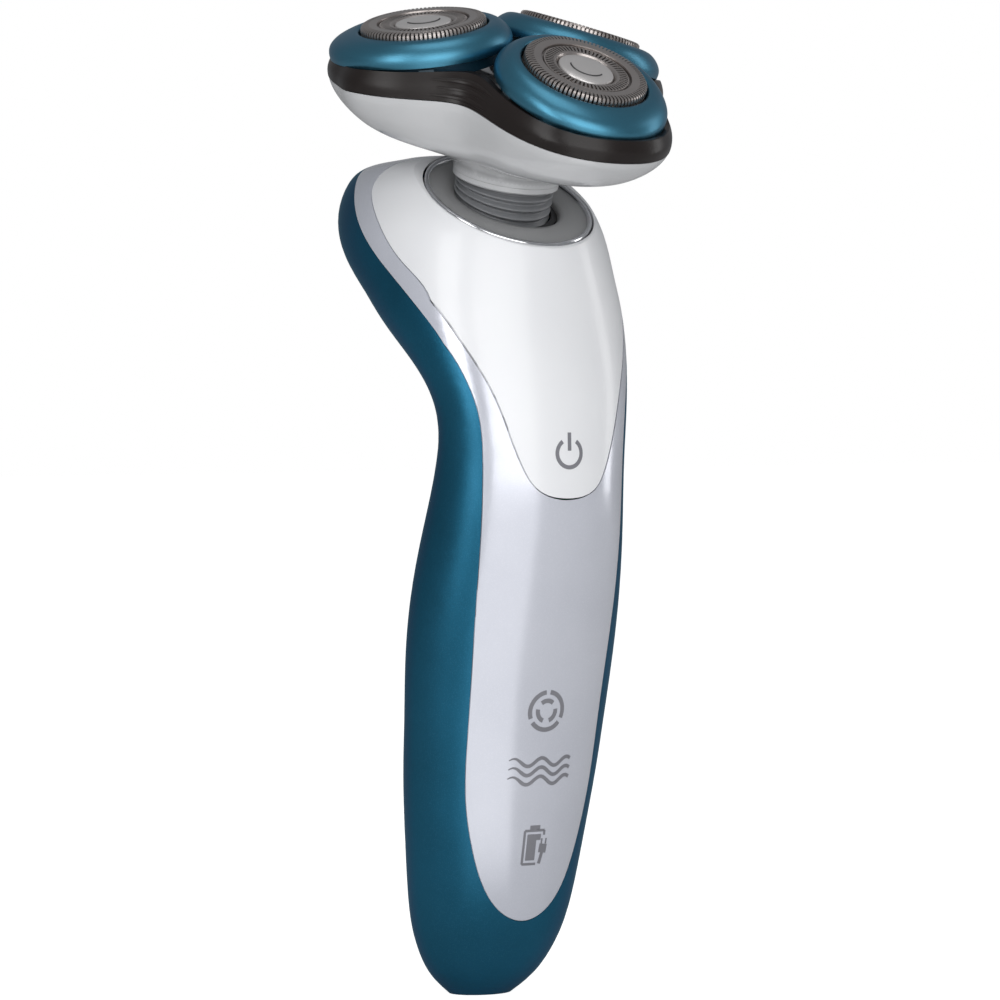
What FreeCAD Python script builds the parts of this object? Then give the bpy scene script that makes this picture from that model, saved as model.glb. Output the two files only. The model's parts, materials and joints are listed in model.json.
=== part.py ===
import FreeCAD, Part
import math
import os

V = FreeCAD.Vector
AXIS_X = V(1, 0, 0)
AXIS_Y = V(0, 1, 0)
AXIS_Z = V(0, 0, 1)

# Driving dimensions, in millimetres and degrees.
# +Z is up, -Y is the front, and the origin is the middle of the charging inlet's mouth.

# Handle: cross-sections as (height, half width, front Y, back Y).
HANDLE_SECTIONS = [
    (0.0, 5.4, -4.4, 3.8),
    (1.5, 7.2, -6.4, 5.2),
    (4.0, 9.6, -8.8, 6.4),
    (8.0, 11.9, -11.3, 7.2),
    (14.0, 13.8, -13.8, 7.6),
    (24.0, 15.3, -16.3, 7.2),
    (36.0, 16.8, -18.5, 5.9),
    (50.0, 17.9, -21.0, 4.0),
    (64.0, 18.2, -24.1, 2.5),
    (78.0, 17.1, -26.7, -0.9),
    (88.0, 16.4, -27.2, -4.4),
    (96.0, 16.9, -26.9, -5.0),
    (104.0, 18.8, -25.8, 1.4),
    (112.0, 20.7, -24.1, 12.0),
    (120.0, 21.2, -22.3, 22.4),
    (126.0, 20.4, -20.6, 27.3),
    (130.8, 18.0, -18.0, 29.0),
    (133.8, 15.6, -15.0, 28.4),
    (135.7, 12.8, -11.0, 25.4),
    (136.8, 8.2, -4.0, 18.5),
    (137.2, 3.6, 2.0, 12.5),
]
WALL = 1.8
CAVITY_FLOOR = (3.2, 5.4, -4.9, 3.4)
CAVITY_ROOF = (135.0, 8.4, -2.0, 19.0)
CAVITY_SPAN = (4.0, 133.8)

# Seams, given for one side as (half width, height) from the front or (Y, height) from the side.
COVER_FRONT = [(5.4, 83.3), (8.0, 87.4), (9.5, 91.4), (11.1, 96.4), (13.0, 101.4), (15.5, 107.2),
               (17.9, 113.2), (21.5, 120.0), (26.0, 130.0)]
COVER_TIP = 81.8
COVER_SIDE = [(-15.2, 76.0), (-15.2, 108.0), (-14.4, 113.4), (-8.2, 119.7), (-1.6, 125.9), (3.4, 130.2),
              (5.6, 133.0), (5.0, 136.0), (4.0, 142.0)]
PANEL_FRONT = [(4.2, 14.6), (7.4, 18.6), (9.8, 25.0), (11.5, 33.0), (12.3, 46.0), (13.1, 66.0), (13.2, 86.0),
               (14.0, 96.0), (15.3, 101.0), (16.9, 105.5), (20.5, 112.0), (26.0, 122.0)]
PANEL_TIP = 13.0
PANEL_SIDE = [(-8.0, -4.0), (-8.0, 30.0), (-12.0, 60.0), (-17.4, 88.0), (-18.4, 104.0), (-14.0, 110.6),
              (-9.2, 115.2), (-3.1, 120.1), (3.2, 125.2), (8.0, 129.1), (12.6, 132.6), (16.4, 136.0),
              (19.0, 142.0)]
TOOL_TOP = 150.0
TOOL_DEPTH = 60.0
COVER_GAP = 0.30
SHELL_GAP = 0.12

# Deck: the sloping recess at the top of the handle that the neck rises from.
DECK_POINT = V(0, -7.35, 130.9)
DECK_TILT = 32.5
DECK_CENTRE = -2.0
DECK_R = 14.2
DECK_FLOOR = 1.8
DECK_PLATE = 1.4
TRIM_TOP_R = 13.6
TRIM_FOOT_R = 12.8
NECK_HOLE_R = 7.0

# Head: its own frame has its origin in the plane of the three foils and Z along the head's axis.
HEAD_POINT = V(0, -15.6, 155.6)
HEAD_TILT = 18.5
POD_ANGLES = [-90.0, 30.0, 150.0]
POD_RADIUS = 17.5
POD_TILT = 14.7
ROCK_DEPTH = 6.2
PIVOT = -26.1
COLLAR_FOOT = -23.9
COLLAR_TOP = -22.9
COLLAR_R = 8.7
# Head base: (height, reach at a lobe, reach at a dip), outside and inside.
BASE_SECTIONS = [(-22.85, 8.75, 8.75), (-21.6, 9.2, 9.15), (-20.4, 11.0, 10.6), (-19.4, 15.6, 12.6),
                 (-18.4, 21.6, 14.9), (-17.2, 25.2, 16.6), (-15.2, 28.7, 18.4), (-12.9, 31.3, 19.7),
                 (-11.4, 32.2, 20.1)]
BASE_CAVITY = [(-17.4, 19.5, 12.0), (-16.4, 24.6, 14.6), (-15.0, 26.9, 16.6), (-13.0, 29.2, 17.9),
               (-11.3, 30.2, 18.3)]
BAND_SECTIONS = [(-11.25, 32.35, 20.2), (-9.6, 32.6, 20.5), (-7.8, 31.9, 19.9)]
BAND_INSIDE = (29.9, 17.9)
LOBE_FULLNESS = 0.584
WELL_R = 12.6
SKIRT_WELL_R = 14.6

# Gear train: one sun and three planets.
MODULE = 0.8
SUN_TEETH = 12
PLANET_TEETH = 24
GEAR_FLOOR = -15.2
GEAR_TOP = -13.2
PLANET_RADIUS = MODULE * (SUN_TEETH + PLANET_TEETH) / 2
CUP_TOP = -10.9
CUP_R = 3.6
CUP_BORE = 2.7

# Pod: its own frame has its origin at the middle of the foil and Z out of the foil.
POD_R = 14.1
CUP_WALL_R = 12.2
CAP_R = 10.2
CAP_FLANGE_R = 10.95
POD_BORE_R = 11.1
POD_LIP_R = 10.65
# Radius and height, outwards over the dome and back inside.
POD_DOME = [(POD_LIP_R, -1.15), (11.3, -0.9), (12.4, -1.2), (13.4, -2.1), (POD_R, -3.5), (POD_R - 0.15, -4.8)]
POD_INSIDE = [(POD_R - 0.9, -4.9), (13.1, -3.9), (12.8, -3.2), (CUP_WALL_R, -2.8), (CUP_WALL_R, -7.0),
              (POD_BORE_R, -7.0), (POD_BORE_R, -2.5), (POD_LIP_R, -2.2)]
CAP_PROFILE = [(0, -0.95), (4.6, -0.95), (5.0, -0.5), (5.4, -0.2), (6.9, -0.2), (7.1, -0.55), (7.4, -0.55),
               (7.6, 0), (9.7, 0), (CAP_R, -0.5), (CAP_R, -4.2), (CAP_FLANGE_R, -4.2), (CAP_FLANGE_R, -5.0),
               (9.85, -5.0), (9.85, -0.75), (9.5, -0.4), (7.9, -0.4), (7.6, -0.95), (6.9, -0.95), (6.7, -0.6),
               (5.6, -0.6), (5.3, -0.9), (4.8, -1.35), (0, -1.35)]
PIN_R = 0.8

# Hinge on which the shaving head flips open, in the head's frame.
HINGE_Y = 24.8
HINGE_Z = -11.3
HINGE_PIN_R = 0.9
KNUCKLE_R = 1.9

# Inside the handle.
MOTOR_R = 8.0
MOTOR_TOP = -33.1
MOTOR_LENGTH = 16.0
MOTOR_AIR = 0.7
MOTOR_SHAFT_R = 0.75
ARMATURE_R = 5.9
BATTERY_FOOT = V(0, -5.6, 24.0)
BATTERY_TILT = 7.4
BATTERY_R = 7.0
BATTERY_LENGTH = 48.0
BOARD_OFFSET = 7.2
BOARD_THICK = 1.2

CLEARANCE = 0.06


# Basic solids and placing.

def cylinder(radius, low, high, x=0.0, y=0.0):
    return Part.makeCylinder(radius, high - low, V(x, y, low))


def ring(outer, inner, low, high, x=0.0, y=0.0):
    return cylinder(outer, low, high, x, y).cut(cylinder(inner, low - 1, high + 1, x, y))


def box(low, high):
    return Part.makeBox(high[0] - low[0], high[1] - low[1], high[2] - low[2], V(*low))


def rod(radius, start, end):
    span = end - start
    return Part.makeCylinder(radius, span.Length, start, span)


def join(solids):
    whole = solids[0]
    for solid in solids[1:]:
        whole = whole.fuse(solid)
    return whole.removeSplitter()


def turned(profile):
    """A solid of revolution about Z from (radius, height) points."""
    points = [V(r, 0, z) for r, z in profile]
    face = Part.Face(Part.makePolygon(points + points[:1]))
    return face.revolve(V(0, 0, 0), AXIS_Z, 360)


def smooth_turned(profile, closing):
    """As turned, but the first run of points is one smooth curve."""
    curve = Part.BSplineCurve()
    curve.interpolate([V(r, 0, z) for r, z in profile])
    corners = [V(profile[-1][0], 0, profile[-1][1])]
    corners += [V(r, 0, z) for r, z in closing]
    corners += [V(profile[0][0], 0, profile[0][1])]
    edges = [curve.toShape()]
    edges += [Part.makeLine(a, b) for a, b in zip(corners, corners[1:])]
    return Part.Face(Part.Wire(edges)).revolve(V(0, 0, 0), AXIS_Z, 360)


def placed(shape, rotation, move):
    copy = shape.copy()
    copy.Placement = FreeCAD.Placement(move, rotation).multiply(copy.Placement)
    return copy


def in_deck(shape):
    return placed(shape, FreeCAD.Rotation(AXIS_X, DECK_TILT), DECK_POINT)


def in_head(shape):
    return placed(shape, FreeCAD.Rotation(AXIS_X, HEAD_TILT), HEAD_POINT)


def in_pod(shape, angle):
    """Pod frame to head frame: lean outwards, move out, turn to the pod's place."""
    leaned = placed(shape, FreeCAD.Rotation(AXIS_Y, POD_TILT), V(POD_RADIUS, 0, 0))
    return placed(leaned, FreeCAD.Rotation(AXIS_Z, angle), V(0, 0, 0))


def pod_part(shape, angle):
    return in_head(in_pod(shape, angle))


def save(node, shape):
    solid = shape.Solids[0] if len(shape.Solids) == 1 else Part.makeCompound(shape.Solids)
    solid.exportStep("parts/" + node + ".step")
    print(node, len(shape.Solids), shape.isValid(), round(shape.Volume, 1))


# Section curves.

def closed_curve(points):
    curve = Part.BSplineCurve()
    curve.interpolate(Points=points, PeriodicFlag=True)
    return Part.Wire(curve.toShape())


def oval_section(height, half_width, front, back, count=24):
    middle = (front + back) / 2
    half_depth = (back - front) / 2
    points = []
    for step in range(count):
        turn = 2 * math.pi * step / count
        points.append(V(half_width * math.cos(turn), middle + half_depth * math.sin(turn), height))
    return closed_curve(points)


def lobed_section(height, reach, dip, count=48):
    """A smooth three-lobed outline whose lobes point at the pods."""
    mean = (reach + dip) / 2
    shoulder = dip + LOBE_FULLNESS * (reach - dip)
    points = []
    for step in range(count):
        turn = 2 * math.pi * step / count
        from_lobe = turn - math.radians(POD_ANGLES[0])
        radius = (shoulder + mean) / 2
        radius += (reach - dip) / 2 * math.cos(3 * from_lobe)
        radius += (mean - shoulder) / 2 * math.cos(6 * from_lobe)
        points.append(V(radius * math.cos(turn), radius * math.sin(turn), height))
    return closed_curve(points)


def lofted(wires):
    return Part.makeLoft(wires, True, False)


def lobed_plate(low, high, reach, dip):
    return lofted([lobed_section(low, reach, dip), lobed_section(high, reach, dip)])


# Handle shells.

def cavity_sections():
    """The outer sections moved inwards by the wall, more where the side leans."""
    inner = [CAVITY_FLOOR]
    for below, here, above in zip(HANDLE_SECTIONS, HANDLE_SECTIONS[1:], HANDLE_SECTIONS[2:]):
        if CAVITY_SPAN[0] <= here[0] <= CAVITY_SPAN[1]:
            rise = above[0] - below[0]
            width, front, back = [WALL * math.hypot(1, (above[i] - below[i]) / rise) for i in (1, 2, 3)]
            inner.append((here[0], here[1] - width, here[2] + front, here[3] - back))
    inner.append(CAVITY_ROOF)
    return inner


def front_tool(seam, tip, grow):
    """A prism along Y whose outline is the seam seen from the front."""
    right = [V(x + grow, -TOOL_DEPTH, z) for x, z in seam]
    left = [V(-p.x, p.y, p.z) for p in reversed(right)]
    curve = Part.BSplineCurve()
    curve.interpolate(left + [V(0, -TOOL_DEPTH, tip - grow)] + right)
    corners = [right[-1], V(right[-1].x, -TOOL_DEPTH, TOOL_TOP), V(left[0].x, -TOOL_DEPTH, TOOL_TOP), left[0]]
    edges = [curve.toShape()] + [Part.makeLine(a, b) for a, b in zip(corners, corners[1:])]
    return Part.Face(Part.Wire(edges)).extrude(V(0, 2 * TOOL_DEPTH, 0))


def side_tool(seam, grow):
    """A prism along X that keeps what is in front of the seam seen from the side."""
    points = [V(-TOOL_DEPTH, y + grow, z) for y, z in seam]
    curve = Part.BSplineCurve()
    curve.interpolate(points)
    corners = [points[-1], V(-TOOL_DEPTH, -TOOL_DEPTH, points[-1].z)]
    corners += [V(-TOOL_DEPTH, -TOOL_DEPTH, points[0].z), points[0]]
    edges = [curve.toShape()] + [Part.makeLine(a, b) for a, b in zip(corners, corners[1:])]
    return Part.Face(Part.Wire(edges)).extrude(V(2 * TOOL_DEPTH, 0, 0))


def cover_region(grow):
    return front_tool(COVER_FRONT, COVER_TIP, grow).common(side_tool(COVER_SIDE, grow))


def panel_region(grow):
    return front_tool(PANEL_FRONT, PANEL_TIP, grow).common(side_tool(PANEL_SIDE, grow))


def inlet_outline(half_width, half_depth, low, high):
    """An oval post: a rounded bar with its long side along X."""
    straight = half_width - half_depth
    solids = [box((-straight, -half_depth, low), (straight, half_depth, high))]
    solids += [cylinder(half_depth, low, high, x) for x in (-straight, straight)]
    return join(solids)


def handle_shell():
    outer = lofted([oval_section(*s) for s in HANDLE_SECTIONS])
    inner = lofted([oval_section(*s) for s in cavity_sections()])
    above_deck = in_deck(box((-TOOL_DEPTH, -TOOL_DEPTH, 0), (TOOL_DEPTH, TOOL_DEPTH, TOOL_DEPTH)))
    well = in_deck(cylinder(DECK_R + COVER_GAP, -6, 6, 0, DECK_CENTRE))
    return outer.cut(inner).cut(above_deck).cut(well)


def save_shells():
    shell = handle_shell()
    cover = shell.common(cover_region(0))
    panel = shell.common(panel_region(0)).cut(cover_region(COVER_GAP))
    rear = shell.cut(panel_region(SHELL_GAP))
    rear = rear.cut(inlet_outline(4.0, 2.6, -1, 12))
    boss = rod(0.9, V(0, -25.8, 88.2), V(0, -24.55, 88.2))
    save("front_cover", biggest(cover.fuse(boss)))
    save("front_shell", biggest(panel))
    save("rear_shell", biggest(rear))


def biggest(shape):
    return sorted(shape.Solids, key=lambda solid: solid.Volume)[-1]


# Deck, neck and their pieces.

def save_deck():
    floor = -DECK_FLOOR
    trim = turned([(DECK_R, 0), (DECK_R, floor - DECK_PLATE), (TRIM_FOOT_R, floor - DECK_PLATE),
                   (TRIM_FOOT_R, floor), (TRIM_TOP_R, 0)])
    trim.translate(V(0, DECK_CENTRE, 0))
    plate = cylinder(TRIM_FOOT_R - 0.05, floor - DECK_PLATE, floor, 0, DECK_CENTRE)
    hole = cylinder(NECK_HOLE_R, PIVOT - 12, PIVOT + 12)
    save("deck_trim", in_deck(trim))
    save("deck_plate", in_deck(plate).cut(in_head(hole)))


def fold_section(share, radius):
    """A circle part of the way from the deck's slope to the collar's."""
    lean = (HEAD_TILT - DECK_TILT) * share + DECK_TILT
    foot = HEAD_POINT + head_up().multiply(PIVOT - DECK_FLOOR / math.cos(math.radians(DECK_TILT - HEAD_TILT)))
    top = HEAD_POINT + head_up().multiply(COLLAR_FOOT)
    centre = foot + (top - foot).multiply(share)
    rotation = FreeCAD.Rotation(AXIS_X, lean)
    return Part.Wire(Part.Circle(centre, rotation.multVec(AXIS_Z), radius).toShape())


def head_up():
    return FreeCAD.Rotation(AXIS_X, HEAD_TILT).multVec(AXIS_Z)


def save_bellows():
    folds = 4
    outer = []
    inner = []
    for step in range(2 * folds + 1):
        share = 0.05 + 0.92 * step / (2 * folds)
        radius = 8.1 if step % 2 == 0 else 7.5
        outer.append(fold_section(share, radius))
        inner.append(fold_section(share, radius - 0.5))
    skin = Part.makeLoft(outer, True, True).cut(Part.makeLoft(inner, True, True))
    save("bellows", skin)
    clamp = ring(9.3, 8.35, 0.1, 0.6)
    foot = HEAD_POINT + head_up().multiply(PIVOT - DECK_FLOOR / math.cos(math.radians(DECK_TILT - HEAD_TILT)))
    save("bellows_clamp", placed(clamp, FreeCAD.Rotation(AXIS_X, DECK_TILT), foot))


def save_neck():
    post_x = 3.0
    post_out = 3.9
    posts = [ring(8.6, 3.2, MOTOR_TOP, MOTOR_TOP + 1.0)]
    for side in (-1, 1):
        low, high = sorted((side * post_x, side * post_out))
        posts.append(box((low, -1.3, MOTOR_TOP + 0.5), (high, 1.3, PIVOT + 1.2)))
        posts.append(rod(0.5, V(side * (post_x + 0.2), 0, PIVOT), V(side * 5.1, 0, PIVOT)))
    save("motor_mount", in_head(join(posts)))

    gimbal = ring(5.3, 4.3, PIVOT - 1.0, PIVOT + 1.0)
    for axis in (AXIS_X, AXIS_Y):
        start = V(0, 0, PIVOT) - axis * 8
        gimbal = gimbal.cut(rod(0.5 + CLEARANCE, start, start + axis * 16))
    save("gimbal_ring", in_head(gimbal))

    collar = turned([(COLLAR_R - 0.25, COLLAR_FOOT), (COLLAR_R, COLLAR_FOOT + 0.25), (COLLAR_R, COLLAR_TOP),
                     (5.6, COLLAR_TOP), (5.6, COLLAR_FOOT)])
    lugs = [collar]
    for side in (-1, 1):
        low, high = sorted((side * 5.6, side * 6.3))
        lugs.append(box((-1.1, low, PIVOT - 1.0), (1.1, high, COLLAR_FOOT + 0.3)))
        lugs.append(rod(0.5, V(0, side * 6.1, PIVOT), V(0, side * 4.5, PIVOT)))
    save("neck_collar", in_head(join(lugs)))


# Motor and drive.

def hexagon(radius, low, high):
    corners = []
    for step in range(7):
        turn = math.radians(60 * step)
        corners.append(V(radius * math.cos(turn), radius * math.sin(turn), low))
    return Part.Face(Part.makePolygon(corners)).extrude(V(0, 0, high - low))


def save_motor():
    foot = MOTOR_TOP - MOTOR_LENGTH
    can = cylinder(MOTOR_R, foot, MOTOR_TOP)
    edge = [e for e in can.Edges if abs(e.BoundBox.ZMin - MOTOR_TOP) < 1e-3 and e.BoundBox.XLength > MOTOR_R]
    can = can.makeFillet(0.8, edge)
    can = can.cut(cylinder(ARMATURE_R + MOTOR_AIR, foot + 1.2, MOTOR_TOP - 1.2))
    can = can.cut(cylinder(1.3, MOTOR_TOP - 3, MOTOR_TOP + 1))
    endcap = [cylinder(5.6, foot - 0.9, foot)]
    for side in (-1, 1):
        endcap.append(box((side * 4.0 - 0.8, -0.25, foot - 2.6), (side * 4.0 + 0.8, 0.25, foot - 0.6)))
    save("motor_can", in_head(can))
    save("motor_endcap", in_head(join(endcap)))
    save_rotor(foot)


def save_rotor(foot):
    armature = cylinder(ARMATURE_R, foot + 3.0, MOTOR_TOP - 2.6)
    commutator = cylinder(2.4, foot + 1.7, foot + 3.2)
    shaft = cylinder(MOTOR_SHAFT_R, foot + 1.4, PIVOT - 2.2)
    cup = cylinder(2.5, PIVOT - 2.0, PIVOT + 0.9).cut(hexagon(1.95, PIVOT - 1.3, PIVOT + 2))
    sleeve = ring(1.6, MOTOR_SHAFT_R + CLEARANCE, MOTOR_TOP + 0.6, PIVOT - 1.9)
    save("motor_armature", in_head(join([armature, commutator, shaft])))
    save("motor_coupling", in_head(join([cup, sleeve])))


def gear(teeth, low, high):
    """Straight-sided teeth, with the first tooth's middle on the X axis."""
    pitch = MODULE * teeth / 2
    step = 2 * math.pi / teeth
    shape = [(pitch - 1.25 * MODULE, 0.29), (pitch, 0.20), (pitch + 0.8 * MODULE, 0.10)]
    points = []
    for tooth in range(teeth):
        middle = tooth * step
        flank = [(r, middle - w * step) for r, w in shape]
        flank += [(r, middle + w * step) for r, w in reversed(shape)]
        points += [V(r * math.cos(a), r * math.sin(a), low) for r, a in flank]
    face = Part.Face(Part.makePolygon(points + points[:1]))
    return face.extrude(V(0, 0, high - low))


def save_gears():
    sun = gear(SUN_TEETH, GEAR_FLOOR, GEAR_TOP).cut(cylinder(1.1, GEAR_FLOOR - 1, GEAR_TOP + 1))
    save("sun_gear", in_head(sun))
    shaft = join([cylinder(1.1, PIVOT + 1.6, GEAR_TOP), cylinder(0.8, PIVOT + 0.3, PIVOT + 1.7),
                  hexagon(1.35, PIVOT - 0.8, PIVOT + 0.5), ring(2.0, 0.6, -18.6 + 1.4, GEAR_FLOOR)])
    save("drive_shaft", in_head(shaft))
    for number, angle in enumerate(POD_ANGLES, 1):
        planet = gear(PLANET_TEETH, GEAR_FLOOR, GEAR_TOP)
        planet.rotate(V(0, 0, 0), AXIS_Z, angle + 180 + 180 / PLANET_TEETH)
        planet = planet.fuse(cylinder(CUP_R, GEAR_TOP - 0.5, CUP_TOP))
        planet = planet.cut(cylinder(CUP_BORE, GEAR_TOP - 0.3, CUP_TOP + 1))
        planet = planet.cut(cylinder(1.2 + CLEARANCE, GEAR_FLOOR - 1, GEAR_TOP - 0.9))
        turn = math.radians(angle)
        planet.translate(V(PLANET_RADIUS * math.cos(turn), PLANET_RADIUS * math.sin(turn), 0))
        save("planet_gear_%d" % number, in_head(planet))


# Head base and its pieces.

def around(count, radius, start):
    for step in range(count):
        turn = math.radians(start + 360 * step / count)
        yield radius * math.cos(turn), radius * math.sin(turn)


def hinge_ears():
    ears = []
    for side in (-1, 1):
        low, high = sorted((side * 4.4, side * 6.2))
        ears.append(box((low, 16.6, HINGE_Z - 3.6), (high, HINGE_Y, HINGE_Z - 0.2)))
        ears.append(rod(KNUCKLE_R, V(low, HINGE_Y, HINGE_Z), V(high, HINGE_Y, HINGE_Z)))
    return ears


def save_head_base():
    base = join([lofted([lobed_section(*s) for s in BASE_SECTIONS])] + hinge_ears())
    base = base.cut(lofted([lobed_section(*s) for s in BASE_CAVITY]))
    base = base.cut(cylinder(6.6, -24, -20.6))
    floor = BASE_CAVITY[0][0]
    additions = [cylinder(1.6, floor - 0.5, -12.35, x, y) for x, y in around(3, 13.0, POD_ANGLES[0] + 60)]
    for x, y in around(3, PLANET_RADIUS, POD_ANGLES[0]):
        additions.append(cylinder(1.2, floor - 0.5, GEAR_TOP - 1.1, x, y))
    base = join([base] + additions)
    base = base.cut(cylinder(1.1 + 0.25, -21, -17))
    base = base.cut(rod(HINGE_PIN_R, V(-8, HINGE_Y, HINGE_Z), V(8, HINGE_Y, HINGE_Z)))
    for x, y in around(3, 13.0, POD_ANGLES[0] + 60):
        base = base.cut(cylinder(0.7, -16.4, -11, x, y))
    save("head_base", in_head(base))
    save("hinge_pin", in_head(rod(HINGE_PIN_R, V(-6.2, HINGE_Y, HINGE_Z), V(6.2, HINGE_Y, HINGE_Z))))


def save_gear_cover():
    cover = lobed_plate(-12.3, -11.45, 28.8, 17.2)
    for x, y in around(3, PLANET_RADIUS, POD_ANGLES[0]):
        cover = cover.cut(cylinder(CUP_R + 0.5, -14, -10, x, y))
    screws = []
    for x, y in around(3, 13.0, POD_ANGLES[0] + 60):
        cover = cover.cut(cylinder(0.8, -14, -10, x, y))
        head = cylinder(1.5, -11.4, -10.8, x, y).cut(box((x - 2, y - 0.2, -11.1), (x + 2, y + 0.2, -10)))
        screws.append(join([head, cylinder(0.7, -16.0, -11.3, x, y)]))
    save("gear_cover", in_head(cover))
    save("cover_screws", in_head(Part.makeCompound(screws)))


# Upper head: frame, pods, caps and cutters.

def pod_plate():
    plate = lobed_plate(-10.4, -8.6, BAND_INSIDE[0] - 0.05, BAND_INSIDE[1] - 0.05)
    for angle in POD_ANGLES:
        plate = plate.cut(in_pod(cylinder(WELL_R, -18, 2), angle))
    for x, y in around(3, 13.0, POD_ANGLES[0] + 60):
        plate = plate.cut(cylinder(1.9, -14, -9.9, x, y))
    return plate


def save_holder():
    low = BAND_SECTIONS[0][0]
    band = lofted([lobed_section(*s) for s in BAND_SECTIONS])
    band = band.cut(lobed_plate(low - 1, BAND_SECTIONS[-1][0] + 1, *BAND_INSIDE))
    for angle in POD_ANGLES:
        band = band.cut(in_pod(cylinder(WELL_R, -18, 2), angle))
        band = band.cut(in_pod(cylinder(SKIRT_WELL_R, -5.4, 6), angle))
    tongue = box((-4.1, 18.9, low), (4.1, HINGE_Y, HINGE_Z + KNUCKLE_R))
    knuckle = rod(KNUCKLE_R, V(-4.1, HINGE_Y, HINGE_Z), V(4.1, HINGE_Y, HINGE_Z))
    band = join([band, tongue, knuckle])
    band = band.cut(rod(HINGE_PIN_R + CLEARANCE, V(-9, HINGE_Y, HINGE_Z), V(9, HINGE_Y, HINGE_Z)))
    save("holder_frame", in_head(biggest(band)))

    save("pod_plate", in_head(pod_plate()))


def save_pod(number, angle):
    pod = smooth_turned(POD_DOME, POD_INSIDE)
    pod = pod.cut(rod(PIN_R + CLEARANCE, V(0, 10, -ROCK_DEPTH), V(0, 12.9, -ROCK_DEPTH)))
    pod = pod.cut(rod(PIN_R + CLEARANCE, V(0, -10, -ROCK_DEPTH), V(0, -12.9, -ROCK_DEPTH)))
    save("pod_%d" % number, pod_part(pod, angle))

    cap = turned(CAP_PROFILE)
    save("cap_%d" % number, pod_part(cap, angle))

    disc = smooth_turned([(0, 0.05), (2.5, 0.0), (4.0, -0.15), (4.55, -0.45)], [(4.55, -0.93), (0, -0.93)])
    save("cap_disc_%d" % number, pod_part(disc, angle))

    retainer = ring(CAP_FLANGE_R, 9.5, -6.0, -5.05)
    retainer = join([retainer, ring(4.2, 3.2, -6.0, -5.05)] + spokes(3, 3.9, 9.8, -6.0, -5.05, 0.7))
    save("retainer_%d" % number, pod_part(retainer, angle))


def spokes(count, inner, outer, low, high, half):
    arms = []
    for step in range(count):
        arm = box((inner, -half, low), (outer, half, high))
        arm.rotate(V(0, 0, 0), AXIS_Z, 360 * step / count)
        arms.append(arm)
    return arms


def save_cutter(number, angle):
    blades = 15
    parts = [ring(8.9, 2.2, -3.6, -2.9)]
    parts += spokes(blades, 7.95, 9.45, -3.5, -0.55, 0.28)
    parts += spokes(blades, 5.75, 6.65, -3.5, -0.78, 0.26)
    save("cutter_%d" % number, pod_part(join(parts), angle))

    tip = Part.makeSphere(1.2, V(0, 0, -12.3))
    spindle = join([cylinder(2.15, -4.3, -2.95), cylinder(3.0, -4.3, -3.65), cylinder(0.9, -12.3, -4.0), tip])
    save("spindle_%d" % number, pod_part(spindle, angle))


def save_trunnions():
    posts = []
    plate = pod_plate()
    for angle in POD_ANGLES:
        for side in (-1, 1):
            low, high = sorted((side * 12.42, side * 13.2))
            post = box((-1.2, low, -9.9), (1.2, high, -ROCK_DEPTH + 0.9))
            pin = rod(PIN_R, V(0, side * 11.2, -ROCK_DEPTH), V(0, side * 13.0, -ROCK_DEPTH))
            posts.append(in_pod(join([post, pin]), angle).cut(plate))
    save("pod_trunnions", in_head(Part.makeCompound(posts)))


# Inside the handle.

def in_battery(shape):
    return placed(shape, FreeCAD.Rotation(AXIS_X, BATTERY_TILT), BATTERY_FOOT)


def save_battery():
    cell = cylinder(BATTERY_R, 0, BATTERY_LENGTH)
    cell = cell.makeFillet(0.6, [e for e in cell.Edges if e.BoundBox.ZLength < 0.01])
    save("battery", in_battery(cell))
    tabs = [box((-2, -2, BATTERY_LENGTH), (2, 2, BATTERY_LENGTH + 0.3)),
            box((-2, -BOARD_OFFSET + 0.1, BATTERY_LENGTH + 0.3), (2, 2, BATTERY_LENGTH + 0.6)),
            box((-2, -5, -0.3), (2, 2, 0))]
    save("battery_tabs", in_battery(Part.makeCompound([join(tabs[:2]), tabs[2]])))
    tray = ring(BATTERY_R + 1.6, BATTERY_R + 0.1, -1.4, BATTERY_LENGTH - 2)
    tray = tray.cut(box((-20, -20, -3), (20, -1.5, BATTERY_LENGTH + 2)))
    tray = tray.cut(box((-20, -2, 14), (20, 3.2, 34)))
    base = cylinder(BATTERY_R + 1.6, -1.6, -0.35).cut(box((-20, -20, -3), (20, -6.0, 3)))
    save("battery_tray", in_battery(join([tray, base])))


def board_outline(low, high):
    corners = [(-3.6, 11), (-6.6, 28), (-7.2, 56), (-7.2, 74), (7.2, 74), (7.2, 56), (6.6, 28), (3.6, 11)]
    corners.append(corners[0])
    face = Part.Face(Part.makePolygon([V(x, low, z) for x, z in corners]))
    return face.extrude(V(0, high - low, 0))


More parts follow.
